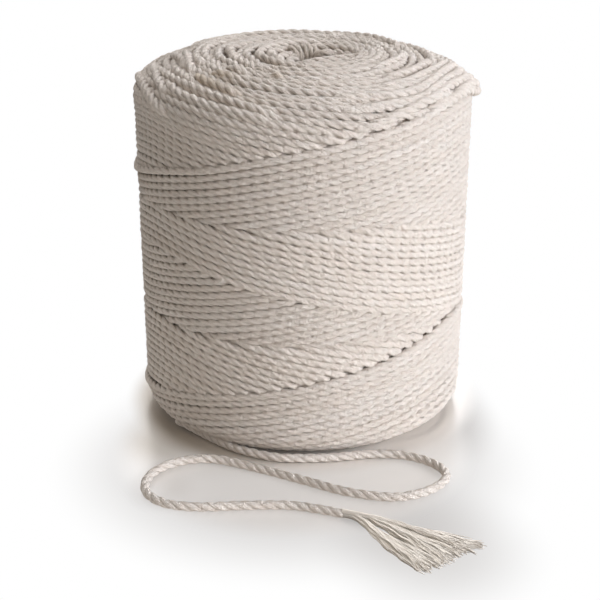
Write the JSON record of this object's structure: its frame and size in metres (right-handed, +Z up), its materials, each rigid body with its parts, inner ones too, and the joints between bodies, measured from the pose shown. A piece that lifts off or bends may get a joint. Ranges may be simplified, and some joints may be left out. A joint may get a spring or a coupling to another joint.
{
  "type": "cord package",
  "caption": "Coreless cylindrical package of twisted cotton cord with a centre hole; the loose end lies in front and is frayed at the tip.",
  "frame": {"origin": "centre of the package's flat foot, on the surface that it stands on", "axes": "+Z up the package, +X to the right of the side where the loose end comes out, -Y towards the loose end"},
  "size_m": [0.1129, 0.1874, 0.124],
  "materials": {
    "cotton_cord": "undyed twisted cotton, matte",
    "inner_turns": "undyed twisted cotton, matte, in shade",
    "frayed_yarn": "opened cotton yarns, matte"
  },
  "bodies": {
    "root": {"inner_winding": "inner_turns", "outer_winding": "cotton_cord", "loose_end": "cotton_cord", "frayed_strand_1": "frayed_yarn", "frayed_strand_2": "frayed_yarn", "frayed_strand_3": "frayed_yarn"}
  },
  "joints": []
}
